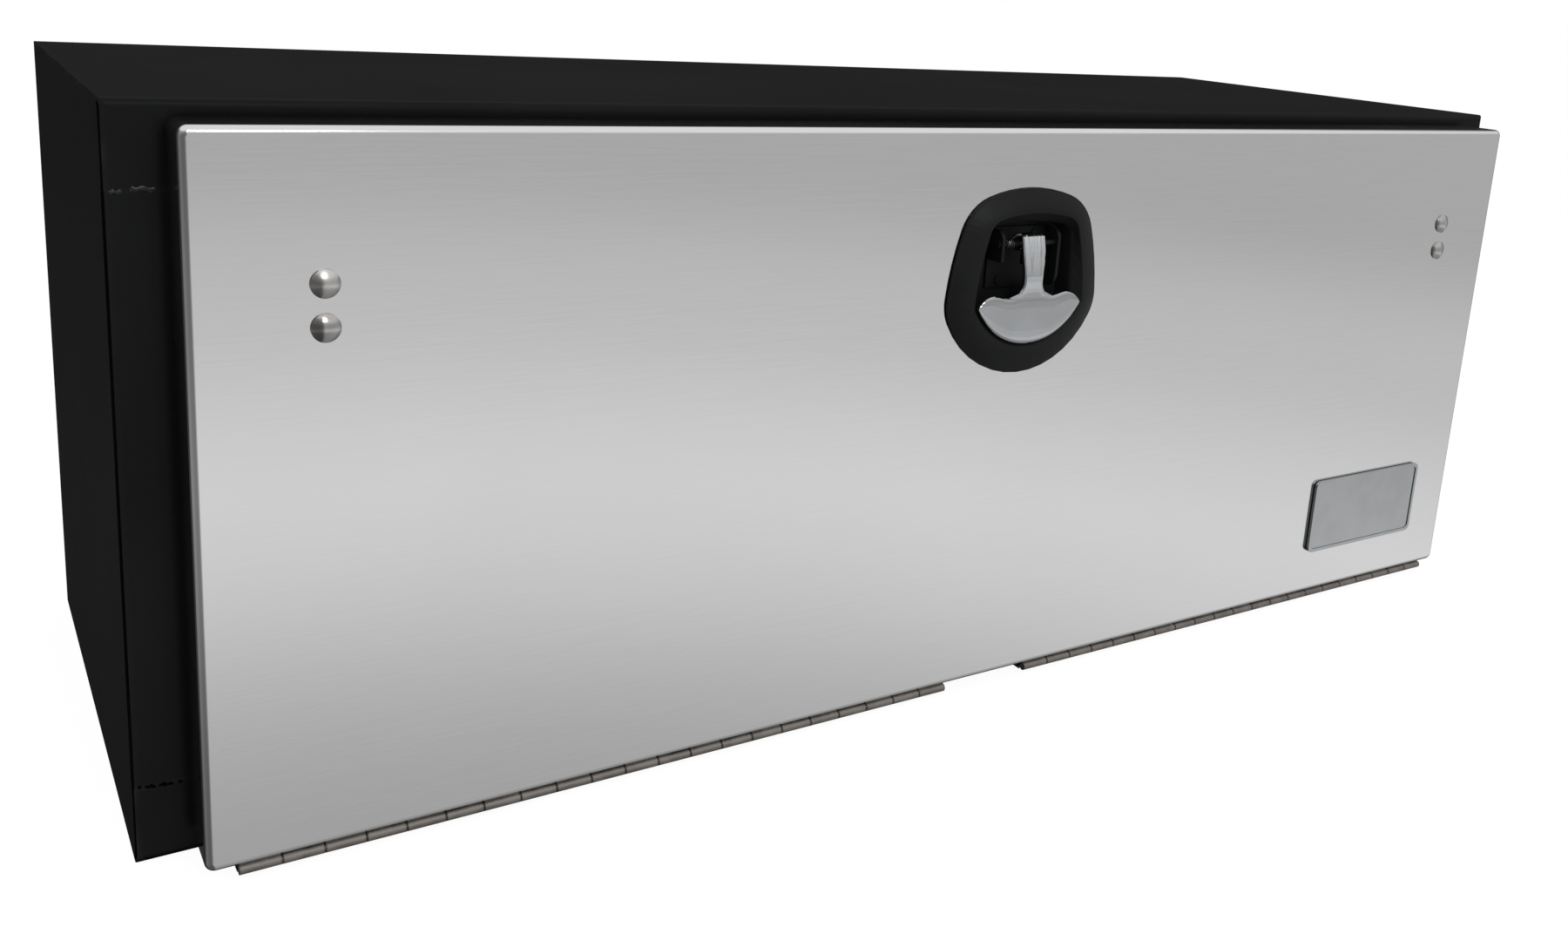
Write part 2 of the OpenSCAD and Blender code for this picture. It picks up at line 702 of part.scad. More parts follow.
module fold_pin() {
    head_wall = 0.8;
    half = clevis_w / 2 + 1.5;
    color("#2a2a2c") translate([0, pivot_y, pivot_z]) {
        x_pin(fold_pin_d, -half, half);
        both_sides() x_pin(fold_pin_d + 2 * head_wall, clevis_w / 2 + fixed_clear, half);
    }
}

// Return spring: a coil round the pin with one leg on the stem and one on the floor of the clevis
spring_clear = 0.25;
curl_gap = 0.7;
spring_r = fold_pin_d / 2 + spring_wire / 2 + spring_clear;
spring_pitch = spring_wire + curl_gap;
spring_steps = 8;
// The coil starts where its tangent runs back and down to the clevis, and ends where it runs up
spring_from = 60;
spring_run = 360 * spring_turns - spring_from;
spring_len = spring_pitch * spring_run / 360;
spring_gap = 3.2;
barrel_half = stem_top_w / 2;
spring_x = -barrel_half - spring_gap - spring_wire / 2 - spring_len;
leg_gap = 0.3;
back_leg = recess_depth - clevis_t + pivot_f - spring_r * cos(spring_from) - spring_wire / 2 - leg_gap;
// The upper leg rises beside the barrel and then bends in behind the top of the stem
top_leg_in = 3.3;
top_leg = [spring_gap + top_leg_in, 4.4, 7];
function coil_point(a) =
    [spring_x + spring_pitch * a / 360, spring_r * cos(a + spring_from), spring_r * sin(a + spring_from)];
function top_leg_point(u) =
    coil_point(spring_run) + [top_leg[0] * u * u, -top_leg[1] * u, top_leg[2] * (1 - pow(1 - u, 2))];
function coil_path() =
    let (
        n = spring_turns * spring_steps,
        back = back_leg * [0, 1, -1 / tan(spring_from)])
    concat(
        [for (i = [3:-1:1]) coil_point(0) + back * i / 3],
        [for (i = [0:n]) coil_point(spring_run * i / n)],
        [for (i = [1:6]) top_leg_point(i / 6)]);
function path_frame(path, i) =
    let (
        ahead = unit(path[min(i + 1, len(path) - 1)] - path[max(i - 1, 0)]),
        across = unit(cross(ahead, [1, 0, 0])))
    [across, cross(ahead, across)];
function tube_rings(path, r, sides) = [for (i = [0:len(path) - 1])
    let (f = path_frame(path, i))
    [for (s = [0:sides - 1]) path[i] + r * (f[0] * cos(360 * s / sides) + f[1] * sin(360 * s / sides))]];
function self_gap(path, d, skip) = min([for (i = [0:len(path) - 1]) for (j = [i + skip:1:len(path) - 1])
    norm(path[i] - path[j]) - d]);
module fold_spring() {
    gap = self_gap(coil_path(), spring_wire, spring_steps - 2);
    echo(str("least gap between curls of the return spring: ", gap));
    color("#c4c4c2") translate([0, pivot_y, pivot_z]) loft(tube_rings(coil_path(), spring_wire / 2, 6));
}

// Whale-tail handle: the tail is lofted along X, the stem along Z
wave_mid = 38.2;
wave_h = 1.3;
wave_peak = 35;
wave_len = 30;
tip_r = 12;
tip_fall = 7.5;
tip_thin = 0.35;
section_sides = 20;
section_power = 0.4;
function tail_low(x) = -tail_drop + tail_low_r - sqrt(pow(tail_low_r, 2) - x * x);
function tip_drop_at(x) =
    let (u = max(abs(x) - tail_half + tip_r, 0) / (tip_r + 0.3))
    tip_fall * (1 - sqrt(1 - u * u));
function tail_high(x) = -wave_mid + wave_h * cos(360 * (abs(x) - wave_peak) / wave_len) - tip_drop_at(x);
function power(v, p) = sign(v) * pow(abs(v), p);
// Rounded rectangle from -1 to 1
function section() = [for (i = [0:section_sides - 1])
    let (a = 360 * (i + 0.5) / section_sides)
    [power(cos(a), section_power), power(sin(a), section_power)]];
function tail_ring(x) =
    let (
        low = tail_low(x),
        high = tail_high(x),
        half = tail_t / 2 * (1 - tip_thin * pow(abs(x) / tail_half, 4)),
        mid_y = door_face - tail_front + tail_t / 2)
    [for (o = section()) [x, mid_y + o[0] * half, pivot_z + (low + high) / 2 + o[1] * (high - low) / 2]];
neck_z = -24;
neck_run = 21;
stem_top = 7.5;
flare_z = -27;
flare_r = 12;
neck_out = 1.5;
top_front = 8.2;
stem_t = 5;
lean_power = 1.6;
function smooth(t) = let (u = min(1, max(0, t))) u * u * (3 - 2 * u);
function stem_half(z) = z > flare_z
    ? stem_w / 2 + (stem_top_w - stem_w) / 2 * smooth((z - neck_z) / neck_run)
    : stem_w / 2 + flare_r - sqrt(max(0, flare_r * flare_r - pow(z - flare_z, 2)));
function stem_front(z) =
    let (neck_front = tail_front + neck_out)
    z > neck_z
        ? neck_front - (neck_front - top_front) * pow((z - neck_z) / (stem_top - neck_z), lean_power)
        : neck_front - neck_out * pow(min(1, (neck_z - z) / (neck_z - flare_z + flare_r)), 2);
function stem_ring(z, shrink = 0) =
    let (mid_y = door_face - stem_front(z) + stem_t / 2)
    [for (o = section())
        [o[0] * (stem_half(z) - shrink), mid_y + o[1] * (stem_t / 2 - shrink), pivot_z + z]];
tail_steps = 28;
flare_steps = 6;
stem_steps = 9;
root_in = 8;
root_shrink = 1.5;
top_bevel = 1;
module handle_form() {
    loft([for (i = [0:tail_steps]) tail_ring(tail_half * sin(90 * (2 * i / tail_steps - 1)))]);
    stem_low = flare_z - flare_r;
    bevel_z = stem_top - top_bevel;
    loft(concat(
        [stem_ring(stem_low - root_in, root_shrink)],
        [for (i = [0:flare_steps])
            stem_ring(stem_low + (flare_z - stem_low) * (1 - pow(1 - i / flare_steps, 2)))],
        [for (i = [1:stem_steps]) stem_ring(flare_z + (bevel_z - flare_z) * i / stem_steps)],
        [stem_ring(stem_top, top_bevel)]));
}
module whale_tail_handle() {
    color("#d9dbdd") difference() {
        union() {
            handle_form();
            translate([0, pivot_y, pivot_z]) {
                x_pin(barrel_d, -barrel_half, barrel_half);
                translate([lever_x - lever_w / 2, 0, -lever_t / 2]) cube([lever_w, lever_len, lever_t]);
                translate([lever_x, lever_len, 0]) x_pin(lever_head_d, -lever_w / 2, lever_w / 2);
            }
        }
        translate([0, pivot_y, pivot_z]) {
            x_pin(fold_pin_d + 2 * pin_clear, -tail_half, tail_half);
            translate([0, lever_len, 0]) x_pin(push_d + 2 * fixed_clear, -tail_half, tail_half);
        }
    }
}
module lever_pin() {
    left_out = 3;
    right_out = 1;
    color("#9a9a98") translate([0, pivot_y + lever_len, pivot_z])
        x_pin(push_d, lever_x - lever_w / 2 - left_out, lever_len + push_d / 2 + right_out);
}

// Latch strap, cam and rods
pivot_d = 8;
pivot_head_d = 13;
strap_foot = 9;
module latch_bracket() {
    leg = strap_leg_x + strap_t;
    foot = stud_top_x + strap_foot;
    color("#a5a5a0") difference() {
        translate([0, 0, cam_z - strap_h / 2]) linear_extrude(strap_h) polygon(bent_sheet([
            [-foot, skin_y + strap_t / 2],
            [-leg + strap_t / 2, skin_y + strap_t / 2],
            [-leg + strap_t / 2, strap_y + strap_t / 2],
            [leg - strap_t / 2, strap_y + strap_t / 2],
            [leg - strap_t / 2, skin_y + strap_t / 2],
            [foot, skin_y + strap_t / 2]], strap_t, strap_t));
        both_sides() translate([stud_top_x, 0, cam_z]) y_pin(stud_hole, skin_y - eps, skin_y + strap_t + eps);
        translate([0, 0, cam_z]) y_pin(pivot_d + 2 * fixed_clear, strap_y - eps, strap_y + strap_t + eps);
    }
}
module cam_pivot() {
    color("#9a9a98") translate([0, 0, cam_z]) {
        y_pin(pivot_d, cam_y - head_t - eps, strap_y + strap_t);
        y_pin(pivot_head_d, cam_y - head_t, cam_y - pin_clear);
        y_pin(pivot_head_d, strap_y + strap_t, strap_y + strap_t + head_t);
    }
}
// Places of the two rod pins, turned from the vertical by half the cam's swing
module rod_pin_places() {
    translate([-pin_dx, 0, cam_z + pin_dz]) children();
    translate([pin_dx, 0, cam_z - pin_dz]) children();
}
cam_hub_d = 22;
cam_arm = 14;
pin_step = 0.5;
push_tail_d = push_d - 4 * pin_step;
rod_tail_d = rod_pin_d - 2 * pin_step;
module latch_cam() {
    arm = cam_arm;
    color("#a5a5a0") difference() {
        along_y(cam_y, cam_y + cam_t) translate([0, cam_z]) {
            circle(d = cam_hub_d);
            translate([0, -arm / 2]) square([lever_len, arm]);
            translate([lever_len, 0]) circle(d = arm);
            rotate(cam_swing) translate([-arm / 2, -cam_r]) square([arm, 2 * cam_r]);
            for (s = [-1, 1]) translate([-s * pin_dx, s * pin_dz]) circle(d = arm);
        }
        translate([0, 0, cam_z]) y_pin(pivot_d + 2 * pin_clear, cam_y - eps, cam_y + cam_t + eps);
        translate([lever_len, 0, cam_z])
            y_pin(push_tail_d + 2 * fixed_clear, cam_y - eps, cam_y + cam_t + eps);
        rod_pin_places() y_pin(rod_tail_d + 2 * fixed_clear, cam_y - eps, cam_y + cam_t + eps);
    }
}
module push_pin() {
    front = pivot_y + lever_len * cos(fold_angle) - push_d / 2 - push_gap;
    color("#9a9a98") translate([lever_len, 0, cam_z]) {
        y_pin(push_d, front, cam_y);
        y_pin(push_tail_d, cam_y - eps, cam_y + cam_t);
    }
}
clip_y = eye_front + eye_t + eye_gap;
clip_wall = 2.5;
pin_end = 1.5;
module cam_pins() {
    color("#9a9a98") rod_pin_places() {
        y_pin(rod_tail_d, cam_y, cam_y + cam_t + eps);
        y_pin(rod_pin_d, cam_y + cam_t, clip_y + clip_t + pin_end);
    }
}
module rod_clips() {
    color("#8a8a88") rod_pin_places() difference() {
        y_pin(rod_pin_d + 2 * clip_wall, clip_y, clip_y + clip_t);
        y_pin(rod_pin_d + 2 * fixed_clear, clip_y - eps, clip_y + clip_t + eps);
    }
}
// A rod runs straight from its eye on the cam's pin through its guide
rod_root = 1.5;
foot_w = 30;
guide_x = bolt_x + foot_w / 2 - strap_t / 2;
module rod(eye_z) {
    run = [guide_x - pin_dx, face_y + rod_back - eye_y, rod_z - eye_z];
    rod_len = (open_w / 2 + rod_reach - pin_dx) * norm(run) / run[0];
    flat = eye_d + 2;
    difference() {
        union() {
            translate([pin_dx, 0, eye_z]) y_pin(eye_d, eye_front, eye_front + eye_t);
            translate([pin_dx, eye_y, eye_z])
                rotate([0, -asin(run[2] / norm(run)), atan2(run[1], run[0])]) difference() {
                    x_pin(rod_d, rod_pin_d / 2 + rod_root, rod_len);
                    // The end is bevelled on the side that meets the frame when the door swings shut
                    translate([rod_len, rod_d / 2, 0]) rotate([0, 0, 45])
                        cube([rod_d, rod_d, rod_d * 2], center = true);
                }
        }
        // The rod is pressed flat round its eye
        translate([pin_dx, eye_front + eye_t + rod_d / 2, eye_z]) cube([flat, rod_d, flat], center = true);
        translate([pin_dx, eye_front, eye_z]) y_pin(rod_pin_d + 2 * pin_clear, -rod_d, rod_d);
    }
}
module rod_right() {
    color("#a5a5a0") rod(cam_z - pin_dz);
}
module rod_left() {
    color("#a5a5a0") mirror([1, 0, 0]) rod(cam_z + pin_dz);
}

// Rod guides and the carriage bolts that hold them
bolt_neck_clear = 0.15;
guide_clear = 0.7;
guide_margin = 12;
guide_eye_wall = 6;
bolt_end = 10;
guide_nut_flat = 12;
guide_nut_h = 8;
module bolt_places() {
    both_sides() for (s = [-1, 1]) translate([bolt_x, 0, rod_z + s * bolt_pitch / 2]) children();
}
module rod_guide() {
    rise = cam_r - pin_dz;
    foot_h = bolt_pitch + 2 * guide_margin;
    eye_centre = face_y + rod_back;
    difference() {
        intersection() {
            translate([0, 0, rod_z - foot_h / 2]) linear_extrude(foot_h) polygon(bent_sheet([
                [bolt_x - foot_w / 2, skin_y + strap_t / 2],
                [guide_x, skin_y + strap_t / 2],
                [guide_x, eye_centre + rod_d / 2 + guide_eye_wall + strap_t]], strap_t, strap_t));
            along_x(bolt_x - foot_w, bolt_x + foot_w) guide_side(foot_h, eye_centre);
        }
        // The eye is taller than the rod by the rise of the cam's pins over their swing
        for (dz = [-rise, rise]) translate([0, eye_centre, rod_z + dz])
            x_pin(rod_d + 2 * guide_clear, bolt_x, bolt_x + foot_w);
        translate([bolt_x, eye_centre - rod_d / 2 - guide_clear, rod_z - rise])
            cube([foot_w, rod_d + 2 * guide_clear, 2 * rise]);
        for (s = [-1, 1]) translate([bolt_x, 0, rod_z + s * bolt_pitch / 2])
            y_pin(bolt_d + 2 * bolt_neck_clear, skin_y - eps, skin_y + strap_t + eps);
    }
}
// The guide's leg seen along X: full height at the foot, narrowing to a round eye
module guide_side(foot_h, eye_centre) {
    eye_r = rod_d / 2 + guide_eye_wall;
    polygon([
        [skin_y, rod_z - foot_h / 2],
        [skin_y + 2 * strap_t, rod_z - foot_h / 2],
        [eye_centre, rod_z - eye_r],
        [eye_centre, rod_z + eye_r],
        [skin_y + 2 * strap_t, rod_z + foot_h / 2],
        [skin_y, rod_z + foot_h / 2]]);
    translate([eye_centre, rod_z]) circle(eye_r);
}
module rod_guide_right() {
    color("#a5a5a0") rod_guide();
}
module rod_guide_left() {
    color("#a5a5a0") mirror([1, 0, 0]) rod_guide();
}
bolt_rim = 1.1;
module guide_bolts() {
    dome_h = bolt_head_h - bolt_rim;
    dome_r = (pow(bolt_head_d / 2, 2) + pow(dome_h, 2)) / (2 * dome_h);
    nut_end = skin_y + strap_t + bolt_end;
    color("#b7b3ab") bolt_places() {
        intersection() {
            translate([0, door_face - bolt_head_h + dome_r, 0]) sphere(dome_r);
            y_pin(bolt_head_d, door_face - bolt_head_h - eps, door_face);
        }
        along_y(door_face - eps, skin_y) square(bolt_d, center = true);
        y_pin(bolt_d, skin_y - eps, nut_end);
    }
}
module guide_nuts() {
    color("#b0b0ac") bolt_places() translate([0, skin_y + strap_t, 0])
        hex_nut(bolt_d, guide_nut_flat, guide_nut_h);
}

// Badge: a plain plate with a raised rim on an adhesive pad
badge_r = 6;
badge_rim = 3;
badge_sink = 0.8;
module badge_plate() {
    front = door_face - badge_pad_t - badge_t;
    color("#cfd2d4") translate([badge_x, 0, badge_z]) difference() {
        along_y(front, door_face - badge_pad_t) rounded_plate(badge_w, badge_h, badge_r);
        along_y(front - eps, front + badge_sink)
            rounded_plate(badge_w - 2 * badge_rim, badge_h - 2 * badge_rim, badge_r - badge_rim / 2);
    }
}
module badge_pad() {
    inset = 4;
    color("#151515") translate([badge_x, 0, badge_z]) along_y(door_face - badge_pad_t, door_face)
        rounded_plate(badge_w - inset, badge_h - inset, badge_r - inset / 2);
}

top_panel();
bottom_panel();
back_panel();
left_end();
right_end();
opening_seal();
hinge_frame_leaf_left();
hinge_frame_leaf_right();
hinge_pin_left();
hinge_pin_right();
door_pan();
hinge_door_leaf_left();
hinge_door_leaf_right();
handle_dish();
dish_gasket();
dish_nuts();
handle_clevis();
clevis_rivets();
fold_pin();
fold_spring();
latch_bracket();
cam_pivot();
rod_guide_left();
rod_guide_right();
guide_bolts();
guide_nuts();
badge_plate();
badge_pad();
whale_tail_handle();
lever_pin();
latch_cam();
push_pin();
cam_pins();
rod_clips();
rod_left();
rod_right();
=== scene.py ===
"""Underbody truck tool box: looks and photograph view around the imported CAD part."""

import json
import math
import random

import bpy
from mathutils import Matrix, Vector


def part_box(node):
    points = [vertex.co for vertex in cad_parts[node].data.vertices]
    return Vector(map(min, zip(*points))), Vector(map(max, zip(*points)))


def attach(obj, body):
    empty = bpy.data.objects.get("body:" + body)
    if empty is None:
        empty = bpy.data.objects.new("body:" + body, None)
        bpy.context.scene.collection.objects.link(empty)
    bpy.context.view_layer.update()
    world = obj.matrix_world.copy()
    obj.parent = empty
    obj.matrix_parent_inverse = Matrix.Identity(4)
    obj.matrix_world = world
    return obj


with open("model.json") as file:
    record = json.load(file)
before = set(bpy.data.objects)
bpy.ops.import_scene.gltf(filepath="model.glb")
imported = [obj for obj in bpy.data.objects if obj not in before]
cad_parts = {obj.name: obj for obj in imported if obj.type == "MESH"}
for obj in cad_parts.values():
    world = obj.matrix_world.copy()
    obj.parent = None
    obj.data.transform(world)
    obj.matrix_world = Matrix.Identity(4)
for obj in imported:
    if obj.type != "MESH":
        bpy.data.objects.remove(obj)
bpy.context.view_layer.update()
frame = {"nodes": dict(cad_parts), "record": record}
nodes = frame["nodes"]
scene = bpy.context.scene
scene.view_settings.view_transform = "Standard"

# Camera at the photograph's viewing angle, fitted to the corners of the door and the body
CAMERA_PLACE = (-0.69362, -1.06358, 0.54301)
CAMERA_RIGHT = (0.83478, -0.54636, 0.06810)
CAMERA_BACK = (-0.54639, -0.80679, 0.22482)
CAMERA_SHIFT = (-0.05067, -0.09463)
CAMERA_CLIP = (0.01, 100.0)
SENSOR_MM = 36.0
LENS_MM = 32.982


def make_camera():
    data = bpy.data.cameras.new("camera")
    data.sensor_fit = "HORIZONTAL"
    data.sensor_width = SENSOR_MM
    data.lens = LENS_MM
    data.shift_x, data.shift_y = CAMERA_SHIFT
    data.clip_start, data.clip_end = CAMERA_CLIP
    back = Vector(CAMERA_BACK).normalized()
    up = back.cross(Vector(CAMERA_RIGHT).normalized()).normalized()
    right = up.cross(back).normalized()
    turn = Matrix((right, up, back)).transposed().to_4x4()
    camera = bpy.data.objects.new("camera", data)
    camera.matrix_world = Matrix.Translation(CAMERA_PLACE) @ turn
    scene.collection.objects.link(camera)
    scene.camera = camera


# Node helpers
def grey(value, warm=0.0):
    return (value * (1 + warm), value, value * (1 - warm), 1.0)


class Tree:
    """A small wrapper that adds and links shader nodes."""

    # Sockets of the Mix node when it mixes colours
    MIX_FACTOR, MIX_A, MIX_B, MIX_RESULT = 0, 6, 7, 2

    def __init__(self, owner):
        owner.use_nodes = True
        self.nodes = owner.node_tree.nodes
        self.links = owner.node_tree.links
        self.nodes.clear()

    def add(self, kind, inputs=None, **settings):
        made = self.nodes.new(kind)
        for key, value in settings.items():
            setattr(made, key, value)
        for key, value in (inputs or {}).items():
            if isinstance(value, bpy.types.NodeSocket):
                self.links.new(value, made.inputs[key])
            else:
                made.inputs[key].default_value = value
        return made

    def math(self, operation, a, b=0.0):
        return self.add("ShaderNodeMath", {0: a, 1: b}, operation=operation).outputs[0]

    def times(self, a, b):
        return self.math("MULTIPLY", a, b)

    def vector_math(self, operation, a, b, output):
        made = self.add("ShaderNodeVectorMath", {0: a, 1: b}, operation=operation)
        return made.outputs[output]

    def axis(self, vector, letter):
        return self.add("ShaderNodeSeparateXYZ", {0: vector}).outputs[letter]

    def span(self, value, low, high, to_low=0.0, to_high=1.0):
        """value from low..high mapped smoothly onto to_low..to_high"""
        inputs = {
            "Value": value, "From Min": low, "From Max": high,
            "To Min": to_low, "To Max": to_high}
        made = self.add("ShaderNodeMapRange", inputs, interpolation_type="SMOOTHSTEP")
        return made.outputs["Result"]

    def share(self, value, low, high):
        """value from low..high mapped evenly onto 0..1"""
        inputs = {"Value": value, "From Min": low, "From Max": high}
        return self.add("ShaderNodeMapRange", inputs).outputs["Result"]

    def noise(self, place, scale, detail, rough, distort=0.0):
        inputs = {
            "Vector": place, "Scale": scale, "Detail": detail,
            "Roughness": rough, "Distortion": distort}
        return self.add("ShaderNodeTexNoise", inputs).outputs["Fac"]

    def stretch(self, place, scale):
        return self.add("ShaderNodeMapping", {"Vector": place, "Scale": scale}).outputs["Vector"]

    def mix(self, amount, a, b, blend="MIX"):
        inputs = {self.MIX_FACTOR: amount, self.MIX_A: a, self.MIX_B: b}
        made = self.add("ShaderNodeMix", inputs, data_type="RGBA", blend_type=blend)
        return made.outputs[self.MIX_RESULT]

    def ramp(self, value, stops):
        made = self.add("ShaderNodeValToRGB", {"Fac": value})
        ramp = made.color_ramp
        ramp.interpolation = "LINEAR"
        while len(ramp.elements) < len(stops):
            ramp.elements.new(0.5)
        for element, (place, level) in zip(ramp.elements, stops):
            element.position = place
            element.color = grey(level)
        return made.outputs["Color"]

    def bump(self, height, strength, distance, normal=None):
        inputs = {"Height": height, "Strength": strength, "Distance": distance}
        if normal is not None:
            inputs["Normal"] = normal
        return self.add("ShaderNodeBump", inputs).outputs["Normal"]

    def place(self):
        return self.add("ShaderNodeTexCoord").outputs["Object"]

    def open_air(self, reach):
        """1 on open faces to about 0.5 in the corner of two walls"""
        made = self.add("ShaderNodeAmbientOcclusion", {"Distance": reach}, samples=8)
        return made.outputs["AO"]

    def normals(self, width):
        """The normal rounded over edges by a width, and the face's own"""
        soft = self.add("ShaderNodeBevel", {"Radius": width}, samples=4).outputs["Normal"]
        hard = self.add("ShaderNodeNewGeometry").outputs["Normal"]
        return soft, hard

    def edge(self, width):
        """0 on flat faces to 1 on edges, from the angle of a rounded normal"""
        cosine = self.vector_math("DOT_PRODUCT", *self.normals(width), "Value")
        return self.span(cosine, low=0.995, high=0.90)

    def cut_end(self, width):
        """0 on faces that run along X to 1 at ends cut across it, from a rounded normal"""
        turn = self.vector_math("SUBTRACT", *self.normals(width), "Vector")
        along = self.math("ABSOLUTE", self.axis(turn, "X"))
        return self.span(along, low=0.10, high=0.43)

    def surface(self, **inputs):
        sockets = {key.replace("_", " "): value for key, value in inputs.items()}
        self.output("Material", self.add("ShaderNodeBsdfPrincipled", sockets))

    def output(self, kind, shader):
        out = self.add("ShaderNodeOutput" + kind)
        self.links.new(shader.outputs[0], out.inputs["Surface"])


# Materials
def black_coat(name, low, high, sheen, rough):
    """Powder coat: near-black satin with orange peel, haze, dust, paler edges, and painted shade
    that darkens the crevices.
    """
    made = bpy.data.materials.new(name)
    t = Tree(made)
    place = t.place()
    peel = t.noise(place, scale=420.0, detail=2.0, rough=0.5)
    haze = t.noise(place, scale=3.2, detail=4.0, rough=0.55, distort=0.4)
    dust = t.noise(place, scale=900.0, detail=2.0, rough=0.7)
    rubs = t.noise(place, scale=24.0, detail=4.0, rough=0.65)
    worn = t.times(t.edge(width=0.0035), t.span(rubs, low=0.42, high=0.68))
    specks = t.span(dust, low=0.64, high=0.80)
    cool = -0.02
    colour = t.mix(t.span(haze, low=0.3, high=0.75), grey(low, cool), grey(high, cool))
    colour = t.mix(t.times(specks, 0.2), colour, grey(high * 2.5))
    colour = t.mix(t.times(worn, 0.25), colour, grey(high * 4))
    # Painted shade: near-black in crevices and on the strip beside the door, where walls close in.
    clear = t.span(t.open_air(reach=0.012), low=0.58, high=0.76)
    colour = t.mix(clear, grey(low * 0.08), colour)
    dullness = t.span(haze, low=0.25, high=0.8, to_low=rough - 0.03, to_high=rough + 0.07)
    normal = t.bump(peel, strength=0.10, distance=0.0006)
    t.surface(Base_Color=colour, Roughness=dullness, Normal=normal, Specular_IOR_Level=sheen)
    return made


def stainless(name, base, rough_low, rough_high, line_strength):
    """Rolled stainless sheet: fine drawn lines that turn the bends with it, patches and scuffs."""
    made = bpy.data.materials.new(name)
    t = Tree(made)
    place = t.place()
    facing = t.axis(t.add("ShaderNodeTexCoord").outputs["Normal"], "X")
    on_side = t.math("GREATER_THAN", t.math("ABSOLUTE", facing), 0.7)
    drawn = {"scale": 22.0, "detail": 4.0, "rough": 0.7}
    lines_x = t.noise(t.stretch(place, (1.0, 60.0, 60.0)), **drawn)
    lines_y = t.noise(t.stretch(place, (60.0, 1.0, 60.0)), **drawn)
    fine = t.mix(on_side, lines_x, lines_y)
    patch = t.noise(place, scale=4.0, detail=2.0, rough=0.5, distort=0.3)
    scuff = t.noise(t.stretch(place, (60.0, 60.0, 7.0)), scale=6.0, detail=5.0, rough=0.75)
    pale, dark = grey(base * 1.015), grey(base * 0.985)
    colour = t.mix(t.span(fine, low=0.3, high=0.7), dark, pale)
    tone = t.math("ADD", t.times(fine, 0.5), t.times(patch, 0.5))
    dullness = t.span(tone, low=0.3, high=0.7, to_low=rough_low, to_high=rough_high)
    scuffed = t.times(t.span(scuff, low=0.68, high=0.82), 0.04)
    dullness = t.math("ADD", dullness, scuffed)
    normal = t.bump(fine, strength=line_strength, distance=0.0004)
    t.surface(Base_Color=colour, Metallic=1.0, Roughness=dullness, Normal=normal)
    return made


def chrome(name, base, stem_reflection_level=None):
    """Polished plating: nearly mirror, with faint waves and wipe marks.

    On the handle the upper part is painted paler, with darker streaks over it: painted
    reflections. The paler level is given, and the streak pattern also bumps the surface.
    """
    made = bpy.data.materials.new(name)
    t = Tree(made)
    place = t.place()
    cool = -0.03
    wave = t.noise(place, scale=45.0, detail=1.0, rough=0.4)
    wipe = t.noise(t.stretch(place, (140.0, 40.0, 14.0)), scale=9.0, detail=3.0, rough=0.7)
    dullness = t.span(wipe, low=0.45, high=0.8, to_low=0.05, to_high=0.12)
    dark, pale = grey(base * 0.97, cool), grey(base * 1.03, cool)
    colour = t.mix(t.span(wave, low=0.3, high=0.7), dark, pale)
    normal = t.bump(wave, strength=0.05, distance=0.002)
    if stem_reflection_level is not None:
        tall = t.stretch(place, (420.0, 60.0, 34.0))
        flame = t.noise(tall, scale=1.0, detail=2.0, rough=0.5, distort=1.1)
        upper = t.span(t.axis(place, "Z"), low=0.326, high=0.352)
        painted_reflection_streaks = t.times(upper, t.span(flame, low=0.56, high=0.66))
        # Painted reflection: the upper handle painted paler, with darker streaks after the
        # reflections on it.
        colour = t.mix(upper, colour, grey(stem_reflection_level, cool))
        colour = t.mix(painted_reflection_streaks, colour, grey(stem_reflection_level * 0.72, cool))
        normal = t.bump(t.times(flame, upper), strength=0.22, distance=0.003, normal=normal)
    t.surface(Base_Color=colour, Metallic=1.0, Roughness=dullness, Normal=normal)
    return made


def dull_steel(name, base, warm, rough, spots, end_shade):
    """Plated or mill steel: blotchy grey, small pits, and painted shade that darkens the rims of
    cut ends, so the gaps between hinge knuckles read dark.
    """
    made = bpy.data.materials.new(name)
    t = Tree(made)
    place = t.place()
    blotch = t.noise(place, scale=60.0, detail=4.0, rough=0.6, distort=0.5)
    pit = t.noise(place, scale=700.0, detail=2.0, rough=0.6)
    dark, pale = grey(base * 0.72, warm), grey(base * 1.12, warm)
    colour = t.mix(t.span(blotch, low=0.3, high=0.72), dark, pale)
    pitted = t.times(t.span(pit, low=0.62, high=0.76), spots)
    colour = t.mix(pitted, colour, grey(base * 0.35, warm * 2))
    # Painted shade: the rims of cut ends darkened, so the gaps between hinge knuckles read dark.
    colour = t.mix(t.times(t.cut_end(width=0.0018), end_shade), colour, grey(base * 0.12, warm))
    dullness = t.span(blotch, low=0.25, high=0.8, to_low=rough - 0.07, to_high=rough + 0.12)
    normal = t.bump(pit, strength=0.12, distance=0.0003)
    t.surface(Base_Color=colour, Metallic=1.0, Roughness=dullness, Normal=normal)
    return made


